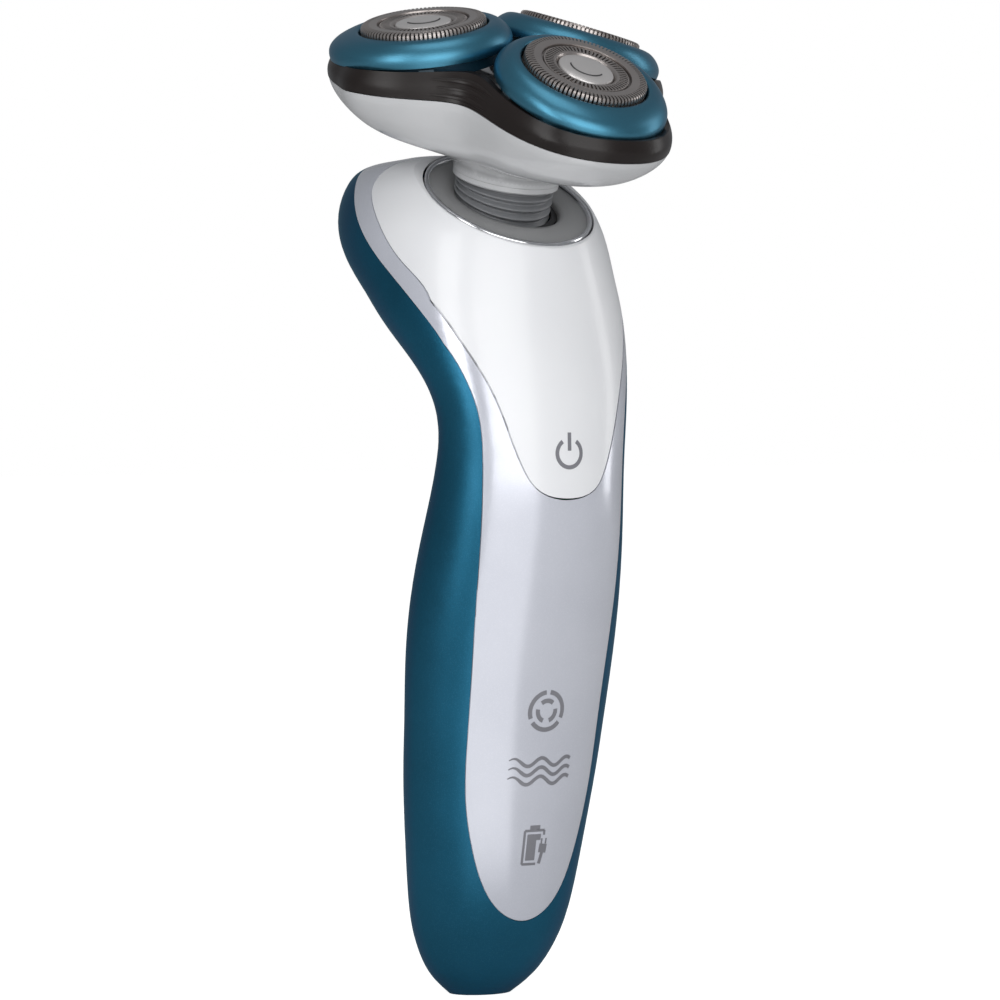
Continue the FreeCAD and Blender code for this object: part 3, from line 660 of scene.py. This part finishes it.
foil = {
    "outerBars": 90, "innerBars": 60, "outerWidth": 0.40, "innerWidth": 0.34, "thickness": 0.28,
    "outerPath": [(8.75, 0.0), (9.45, 0.02), (9.85, -0.08), (10.1, -0.34), (10.18, -0.8), (10.18, -1.55)],
    "innerPath": [(5.35, -0.2), (6.2, -0.14), (7.0, -0.2)],
    "between": [(6.85, -0.2), (7.08, -0.24), (7.16, -0.52), (7.42, -0.52), (7.5, -0.06), (7.7, 0.0),
                (8.8, 0.01), (8.8, -0.28), (7.6, -0.3), (7.6, -0.85), (6.95, -0.85), (6.85, -0.5)],
    "skirt": [(10.18, -1.45), (10.2, -4.2), (10.95, -4.25), (10.95, -5.0), (9.85, -5.0), (9.85, -1.45)],
    "centre": [(0.0, -0.95), (4.6, -0.95), (4.85, -0.55), (5.1, -0.24), (5.45, -0.2), (5.45, -0.5),
               (5.2, -0.9), (4.9, -1.35), (0.0, -1.35)],
}


def barMesh(name, path, width, thickness):
    half = width / 2
    outline = list(path) + [(r - (thickness if r > 10 else 0.0), z - thickness) for r, z in reversed(path)]
    points = [Vector((r, side * half, z)) * mm for side in (-1, 1) for r, z in outline]
    n = len(outline)
    faces = [tuple(reversed(range(n))), tuple(range(n, 2 * n))]
    faces += [(k, (k + 1) % n, n + (k + 1) % n, n + k) for k in range(n)]
    return meshObject(name, points, faces, "foil_steel")


def barTree():
    # bars on a circle, each turned to face out of it
    tree = bpy.data.node_groups.new("barsRound", "GeometryNodeTree")
    tree.interface.new_socket("Geometry", in_out="INPUT", socket_type="NodeSocketGeometry")
    tree.interface.new_socket("Geometry", in_out="OUTPUT", socket_type="NodeSocketGeometry")
    tree.interface.new_socket("Count", in_out="INPUT", socket_type="NodeSocketInt").default_value = 60
    tree.interface.new_socket("Finish", in_out="INPUT", socket_type="NodeSocketMaterial")
    given = tree.nodes.new("NodeGroupInput")
    result = tree.nodes.new("NodeGroupOutput")
    line = tree.nodes.new("GeometryNodePoints")
    tree.links.new(given.outputs["Count"], line.inputs["Count"])
    index = tree.nodes.new("GeometryNodeInputIndex")
    share = tree.nodes.new("ShaderNodeMath")
    share.operation = "DIVIDE"
    tree.links.new(index.outputs["Index"], share.inputs[0])
    tree.links.new(given.outputs["Count"], share.inputs[1])
    turn = tree.nodes.new("ShaderNodeMath")
    turn.operation = "MULTIPLY"
    turn.inputs[1].default_value = 2 * math.pi
    tree.links.new(share.outputs["Value"], turn.inputs[0])
    angles = tree.nodes.new("ShaderNodeCombineXYZ")
    tree.links.new(turn.outputs["Value"], angles.inputs["Z"])
    place = tree.nodes.new("GeometryNodeInstanceOnPoints")
    tree.links.new(line.outputs["Points"] if "Points" in line.outputs else line.outputs[0],
                   place.inputs["Points"])
    tree.links.new(given.outputs["Geometry"], place.inputs["Instance"])
    tree.links.new(angles.outputs["Vector"], place.inputs["Rotation"])
    real = tree.nodes.new("GeometryNodeRealizeInstances")
    tree.links.new(place.outputs["Instances"], real.inputs["Geometry"])
    paint = tree.nodes.new("GeometryNodeSetMaterial")
    tree.links.new(real.outputs["Geometry"], paint.inputs["Geometry"])
    tree.links.new(given.outputs["Finish"], paint.inputs["Material"])
    tree.links.new(paint.outputs["Geometry"], result.inputs["Geometry"])
    return tree


barsRound = barTree()


def setInput(modifier, label, value):
    for item in modifier.node_group.interface.items_tree:
        if item.name == label and item.in_out == "INPUT":
            modifier[item.identifier] = value


def ringOfBars(name, path, width, count):
    piece = barMesh(name, path, width, foil["thickness"])
    spread = piece.modifiers.new("bars", "NODES")
    spread.node_group = barsRound
    setInput(spread, "Count", count)
    setInput(spread, "Finish", materials["foil_steel"])
    settle(piece)
    return piece


def makeFoils():
    for number, angle in enumerate(head["podAngles"], 1):
        matrix = podMatrix(angle)
        outer = ringOfBars("outerBars", foil["outerPath"], foil["outerWidth"], foil["outerBars"])
        inner = ringOfBars("innerBars", foil["innerPath"], foil["innerWidth"], foil["innerBars"])
        for piece in (outer, inner):
            piece.data.transform(matrix)
            finishMesh(piece, 30)
        rings = [lathe("ring", foil[key], "foil_steel", 96, matrix, 30)
                 for key in ("between", "skirt", "centre")]
        cap = joined("foilCap%d" % number, [outer, inner] + rings)
        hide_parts("cap_%d" % number)
        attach(cap, "pod_body_%d" % number)


makeFoils()
print("foils made")


disc = {
    "profile": [(0.0, 0.06), (2.0, 0.04), (3.2, -0.02), (4.1, -0.15), (4.45, -0.32), (4.55, -0.5),
                (4.55, -0.93), (0.0, -0.93)],
    "mark": {"radius": 2.7, "width": 0.13, "height": 0.02, "span": (-75, 75), "turn": (-40, 60, 100)},
}


def makeDiscs():
    mark = disc["mark"]
    for number, angle in enumerate(head["podAngles"], 1):
        piece = lathe("disc", disc["profile"], "disc_metal", 72, podMatrix(angle), 25)
        low, high = (math.radians(mark["turn"][number - 1] + side) for side in mark["span"])
        line = []
        for step in range(33):
            turn = low + (high - low) * step / 32
            line.append(Vector((mark["radius"] * math.cos(turn), mark["radius"] * math.sin(turn),
                                mark["height"])))
        line = [podMatrix(angle) @ (point * mm) for point in line]
        groove = tube("groove", line, mark["width"] * mm, "dark_plastic")
        whole = joined("capDisc%d" % number, [piece, groove])
        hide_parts("cap_disc_%d" % number)
        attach(whole, "pod_body_%d" % number)


def tube(name, line, radius, finish, sides=8):
    points = []
    for k, place in enumerate(line):
        along = (line[min(k + 1, len(line) - 1)] - line[max(k - 1, 0)]).normalized()
        side = along.orthogonal().normalized() if k == 0 else (side - side.dot(along) * along).normalized()
        other = along.cross(side)
        for step in range(sides):
            turn = 2 * math.pi * step / sides
            points.append(place + radius * (side * math.cos(turn) + other * math.sin(turn)))
    last = (len(line) - 1) * sides
    faces = [tuple(reversed(range(sides))), tuple(range(last, last + sides))]
    for k in range(len(line) - 1):
        for step in range(sides):
            following = (step + 1) % sides
            faces.append((k * sides + step, k * sides + following, (k + 1) * sides + following,
                          (k + 1) * sides + step))
    return finishMesh(meshObject(name, points, faces, finish), 50)


makeDiscs()


# grip ribs at the dips of the band

ribs = {"heights": [-10.55, -9.65, -8.75], "reach": 32.5, "dip": 20.45, "from": -17, "to": 17, "steps": 40,
        "radius": 0.3, "sides": 8}


def makeRibs():
    pieces = []
    for dipAngle in [a + 60 for a in head["podAngles"][:1]] + [-150]:
        for height in ribs["heights"]:
            path = []
            for step in range(ribs["steps"] + 1):
                share = step / ribs["steps"]
                turn = math.radians(dipAngle + ribs["from"] + (ribs["to"] - ribs["from"]) * share)
                fade = math.sin(math.pi * share) ** 0.5
                r = lobeRadius(turn, ribs["reach"], ribs["dip"]) - ribs["radius"] * (1.1 - fade)
                path.append((r, turn, height, ribs["radius"] * max(fade, 0.15)))
            pieces.append(ribTube(path))
    whole = joined("gripRibs", pieces)
    finishMesh(whole, 50)
    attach(whole, "upper_head")


def ribTube(path):
    points = []
    sides = ribs["sides"]
    for r, turn, height, size in path:
        for side in range(sides):
            a = 2 * math.pi * side / sides
            out = r + size * math.cos(a)
            z = height + size * math.sin(a)
            points.append(draped(headMatrix @ (Vector((out * math.cos(turn), out * math.sin(turn), z)) * mm)))
    n = len(path)
    faces = [tuple(range(sides)), tuple(reversed(range((n - 1) * sides, n * sides)))]
    for k in range(n - 1):
        for side in range(sides):
            nextSide = (side + 1) % sides
            faces.append((k * sides + side, k * sides + nextSide, (k + 1) * sides + nextSide,
                          (k + 1) * sides + side))
    return meshObject("rib", points, faces, "black_band")


makeRibs()
print("ribs made")


# printed icons, laid on the shell's own surface

icons = {
    "lift": 0.03,
    "power": {"centre": 89.0, "radius": 2.25, "width": 0.66, "gap": 34, "bar": (0.4, 3.3)},
    "headIcon": {"centre": 47.5, "outer": 3.05, "inner": 1.65, "width": 0.74},
    "waves": {"centres": [39.2, 37.7, 36.2], "width": 0.6, "half": 5.8, "swing": 0.65, "length": 5.0},
    "battery": {"centre": 25.2, "half": 1.85, "tall": 2.75},
}


def surfaceTree(nodeName):
    mesh = nodes[nodeName].data
    return BVHTree.FromPolygons([v.co for v in mesh.vertices], [p.vertices for p in mesh.polygons])


def onSurface(tree, x, z):
    spot, normal, _, _ = tree.ray_cast(Vector((x, -60, z)) * mm, Vector((0, 1, 0)))
    if normal.y > 0:
        normal = -normal
    return spot + normal * icons["lift"] * mm


def stroke(line, width, taper=False):
    # a flat ribbon along a line of (x, z)
    left, right = [], []
    n = len(line)
    for k in range(n):
        ax, az = line[max(k - 1, 0)]
        bx, bz = line[min(k + 1, n - 1)]
        length = math.hypot(bx - ax, bz - az)
        half = width / 2
        if taper:
            half *= min(1.0, 0.3 + 3.5 * k / n)
        nx, nz = -(bz - az) / length * half, (bx - ax) / length * half
        left.append((line[k][0] + nx, line[k][1] + nz))
        right.append((line[k][0] - nx, line[k][1] - nz))
    return left, right


def layStrokes(name, nodeName, body, strokes):
    tree = surfaceTree(nodeName)
    points, faces = [], []
    for left, right in strokes:
        start = len(points)
        columns = 3
        for (lx, lz), (rx, rz) in zip(left, right):
            for c in range(columns + 1):
                t = c / columns
                points.append(onSurface(tree, lx + (rx - lx) * t, lz + (rz - lz) * t))
        for k in range(len(left) - 1):
            for c in range(columns):
                a = start + k * (columns + 1) + c
                faces.append((a, a + 1, a + columns + 2, a + columns + 1))
    piece = meshObject(name, points, faces, "icon_print")
    finishMesh(piece, 60)
    outward = sum(p.normal.y for p in piece.data.polygons)
    if outward > 0:
        piece.data.flip_normals()
    skin = piece.modifiers.new("ink", "SOLIDIFY")
    skin.thickness = 0.04 * mm
    skin.offset = -1
    settle(piece)
    piece.data.shade_smooth()
    piece.data.set_sharp_from_angle(angle=math.radians(40))
    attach(piece, body)
    return piece


def arc(radius, start, end, centre, steps=24):
    result = []
    for step in range(steps + 1):
        turn = math.radians(start + (end - start) * step / steps)
        result.append((radius * math.cos(turn), centre + radius * math.sin(turn)))
    return result


def makeIcons():
    power = icons["power"]
    half = power["gap"]
    strokes = [stroke(arc(power["radius"], 90 + half, 450 - half, power["centre"], 48), power["width"])]
    bar = [(0, power["centre"] + power["bar"][0] + (power["bar"][1] - power["bar"][0]) * k / 6)
           for k in range(7)]
    strokes.append(stroke(bar, power["width"]))
    layStrokes("powerIcon", "front_cover", "power_cover", strokes)

    ringIcon = icons["headIcon"]
    strokes = []
    for k in range(3):
        strokes.append(stroke(arc(ringIcon["outer"], 97 + 120 * k, 203 + 120 * k, ringIcon["centre"]),
                              ringIcon["width"]))
        strokes.append(stroke(arc(ringIcon["inner"], 50 + 120 * k, 130 + 120 * k, ringIcon["centre"]),
                              ringIcon["width"]))
    waves = icons["waves"]
    for height in waves["centres"]:
        line = []
        for k in range(61):
            x = -waves["half"] + 2 * waves["half"] * k / 60
            line.append((x, height + waves["swing"] * math.cos(2 * math.pi * x / waves["length"])))
        strokes.append(stroke(line, waves["width"], True))
    strokes += batteryStrokes()
    layStrokes("panelIcons", "front_shell", "handle", strokes)


def straight(a, b, steps=10):
    return [(a[0] + (b[0] - a[0]) * k / steps, a[1] + (b[1] - a[1]) * k / steps) for k in range(steps + 1)]


def batteryStrokes():
    cell = icons["battery"]
    w, h, c = cell["half"], cell["tall"], cell["centre"]
    frameLine = [((-w, c - h), (-w, c + h)), ((-w, c + h), (w, c + h)), ((-w, c - h), (0.7, c - h)),
                 ((w, c + h), (w, c + h - 0.8))]
    strokes = [stroke(straight(a, b), 0.42) for a, b in frameLine]
    strokes.append(stroke(straight((0, c + h + 0.1), (0, c + h + 0.85)), 1.9))
    strokes.append(stroke(straight((-0.45, c - h + 0.6), (-0.45, c + h - 0.6)), 1.75))
    strokes.append(stroke(straight((0.8, c + h - 1.6), (0.8, c + h - 0.6)), 0.9))
    strokes.append(stroke(straight((1.35, c - h), (1.75, c - 0.9)), 0.6))
    strokes.append(stroke(straight((1.75, c - 0.95), (1.9, c + 0.5)), 1.5))
    for side in (-0.42, 0.42):
        strokes.append(stroke(straight((1.9 + side, c + 0.5), (1.95 + side, c + 1.4)), 0.3))
    return strokes


makeIcons()
print("icons made")


# floor, light and camera

stage = {"size": 6.0, "floor": (0.55, 0.55, 0.55), "glow": (0.1, 0.9), "sheet": 0.75,
         "sheetFrom": -44.0, "sheetTo": 5.0, "sheetBlur": 5.0,
         "sheetStart": (0.035, 0.065)}
camera = {"azimuth": -32.0, "elevation": 1.8, "distance": 0.8, "target": Vector((0, 0, 0.080)),
          "lens": 175.68, "shift": (0.021, 0.0052)}


def mathNode(tree, operation, first, second):
    node = tree.nodes.new("ShaderNodeMath")
    node.operation = operation
    for socket, value in zip(node.inputs, (first, second)):
        if isinstance(value, float):
            socket.default_value = value
        else:
            tree.links.new(value, socket)
    return node.outputs["Value"]


def bounceSheet(tree):
    # a bright wedge of floor in front of the object, which its glossy panel mirrors
    coords = tree.nodes.new("ShaderNodeTexCoord")
    split = tree.nodes.new("ShaderNodeSeparateXYZ")
    tree.links.new(coords.outputs["Object"], split.inputs["Vector"])
    ahead = mathNode(tree, "MULTIPLY", split.outputs["Y"], -1.0)
    azimuth = mathNode(tree, "ARCTAN2", split.outputs["X"], ahead)
    total = None
    for edge, sign in ((stage["sheetFrom"], 1), (stage["sheetTo"], -1)):
        ramp = tree.nodes.new("ShaderNodeMapRange")
        ramp.interpolation_type = "SMOOTHSTEP"
        ramp.inputs["From Min"].default_value = math.radians(edge - sign * stage["sheetBlur"] / 2)
        ramp.inputs["From Max"].default_value = math.radians(edge + sign * stage["sheetBlur"] / 2)
        tree.links.new(azimuth, ramp.inputs["Value"])
        edgeMask = ramp.outputs["Result"]
        total = edgeMask if total is None else mathNode(tree, "MULTIPLY", total, edgeMask)
    # the wedge starts clear of the foot
    across = mathNode(tree, "MULTIPLY", split.outputs["X"], split.outputs["X"])
    along = mathNode(tree, "MULTIPLY", split.outputs["Y"], split.outputs["Y"])
    away = tree.nodes.new("ShaderNodeMapRange")
    away.interpolation_type = "SMOOTHSTEP"
    away.inputs["From Min"].default_value = stage["sheetStart"][0]
    away.inputs["From Max"].default_value = stage["sheetStart"][1]
    tree.links.new(mathNode(tree, "POWER", mathNode(tree, "ADD", across, along), 0.5), away.inputs["Value"])
    total = mathNode(tree, "MULTIPLY", total, away.outputs["Result"])
    extra = mathNode(tree, "MULTIPLY", total, stage["sheet"])
    return mathNode(tree, "ADD", extra, stage["glow"][0])


def paperMaterial():
    paper = bpy.data.materials.new("paper")
    paper.use_nodes = True
    shader = paper.node_tree.nodes["Principled BSDF"]
    shader.inputs["Base Color"].default_value = (*stage["floor"], 1)
    shader.inputs["Roughness"].default_value = 0.8
    shader.inputs["Specular IOR Level"].default_value = 0.0
    shader.inputs["Emission Color"].default_value = (1, 1, 1, 1)
    tree = paper.node_tree
    path = tree.nodes.new("ShaderNodeLightPath")
    seen = tree.nodes.new("ShaderNodeMix")
    tree.links.new(path.outputs["Is Camera Ray"], seen.inputs["Factor"])
    tree.links.new(bounceSheet(tree), seen.inputs["A"])
    seen.inputs["B"].default_value = stage["glow"][1]
    tree.links.new(seen.outputs["Result"], shader.inputs["Emission Strength"])
    return paper


def makeStage():
    half = stage["size"] / 2
    mesh = bpy.data.meshes.new("floor")
    mesh.from_pydata([(-half, -half, 0), (half, -half, 0), (half, half, 0), (-half, half, 0)], [],
                     [(0, 1, 2, 3)])
    floor = bpy.data.objects.new("floor", mesh)
    bpy.context.scene.collection.objects.link(floor)
    mesh.materials.append(paperMaterial())


def makeLight(name, azimuth, elevation, distance, size, radiance):
    # azimuth is from the front, positive to the right, as the camera's is
    a, e = math.radians(azimuth), math.radians(elevation)
    target = Vector((0, 0, 0.09))
    place = target + distance * Vector((math.sin(a) * math.cos(e), -math.cos(a) * math.cos(e), math.sin(e)))
    data = bpy.data.lights.new(name, "AREA")
    data.shape = "RECTANGLE"
    data.size, data.size_y = size
    data.energy = radiance * math.pi * size[0] * size[1]
    light = bpy.data.objects.new(name, data)
    light.location = place
    light.rotation_mode = "QUATERNION"
    light.rotation_quaternion = (target - place).to_track_quat("-Z", "Y")
    bpy.context.scene.collection.objects.link(light)


def makeWorld():
    # white behind the object, and a dimmer room that lights it
    world = bpy.data.worlds.new("studio")
    bpy.context.scene.world = world
    world.use_nodes = True
    tree = world.node_tree
    room = tree.nodes["Background"]
    room.inputs["Color"].default_value = (0.93, 0.96, 1.0, 1)
    room.inputs["Strength"].default_value = 0.28
    backdrop = tree.nodes.new("ShaderNodeBackground")
    backdrop.inputs["Color"].default_value = (1, 1, 1, 1)
    path = tree.nodes.new("ShaderNodeLightPath")
    choose = tree.nodes.new("ShaderNodeMixShader")
    tree.links.new(path.outputs["Is Camera Ray"], choose.inputs["Fac"])
    tree.links.new(room.outputs["Background"], choose.inputs[1])
    tree.links.new(backdrop.outputs["Background"], choose.inputs[2])
    tree.links.new(choose.outputs["Shader"], tree.nodes["World Output"].inputs["Surface"])


def makeLights():
    makeWorld()
    makeLight("front", -18, 4, 1.0, (0.86, 1.2), 2.3)
    makeLight("key", -66, 8, 1.0, (0.34, 1.1), 3.4)
    makeLight("rim", 78, 10, 1.0, (0.2, 1.0), 2.4)
    makeLight("top", -20, 72, 1.0, (0.6, 0.5), 1.6)


def makeCamera():
    data = bpy.data.cameras.new("camera")
    data.lens = camera["lens"]
    data.sensor_width = 36
    data.shift_x, data.shift_y = camera["shift"]
    data.clip_start, data.clip_end = 0.01, 20
    view = bpy.data.objects.new("camera", data)
    a, e = math.radians(camera["azimuth"]), math.radians(camera["elevation"])
    back = Vector((math.sin(a) * math.cos(e), -math.cos(a) * math.cos(e), math.sin(e)))
    view.location = camera["target"] + back * camera["distance"]
    view.rotation_mode = "QUATERNION"
    view.rotation_quaternion = (-back).to_track_quat("-Z", "Y")
    bpy.context.scene.collection.objects.link(view)
    bpy.context.scene.camera = view


makeStage()
makeLights()
makeCamera()
bpy.context.scene.view_settings.view_transform = "Standard"
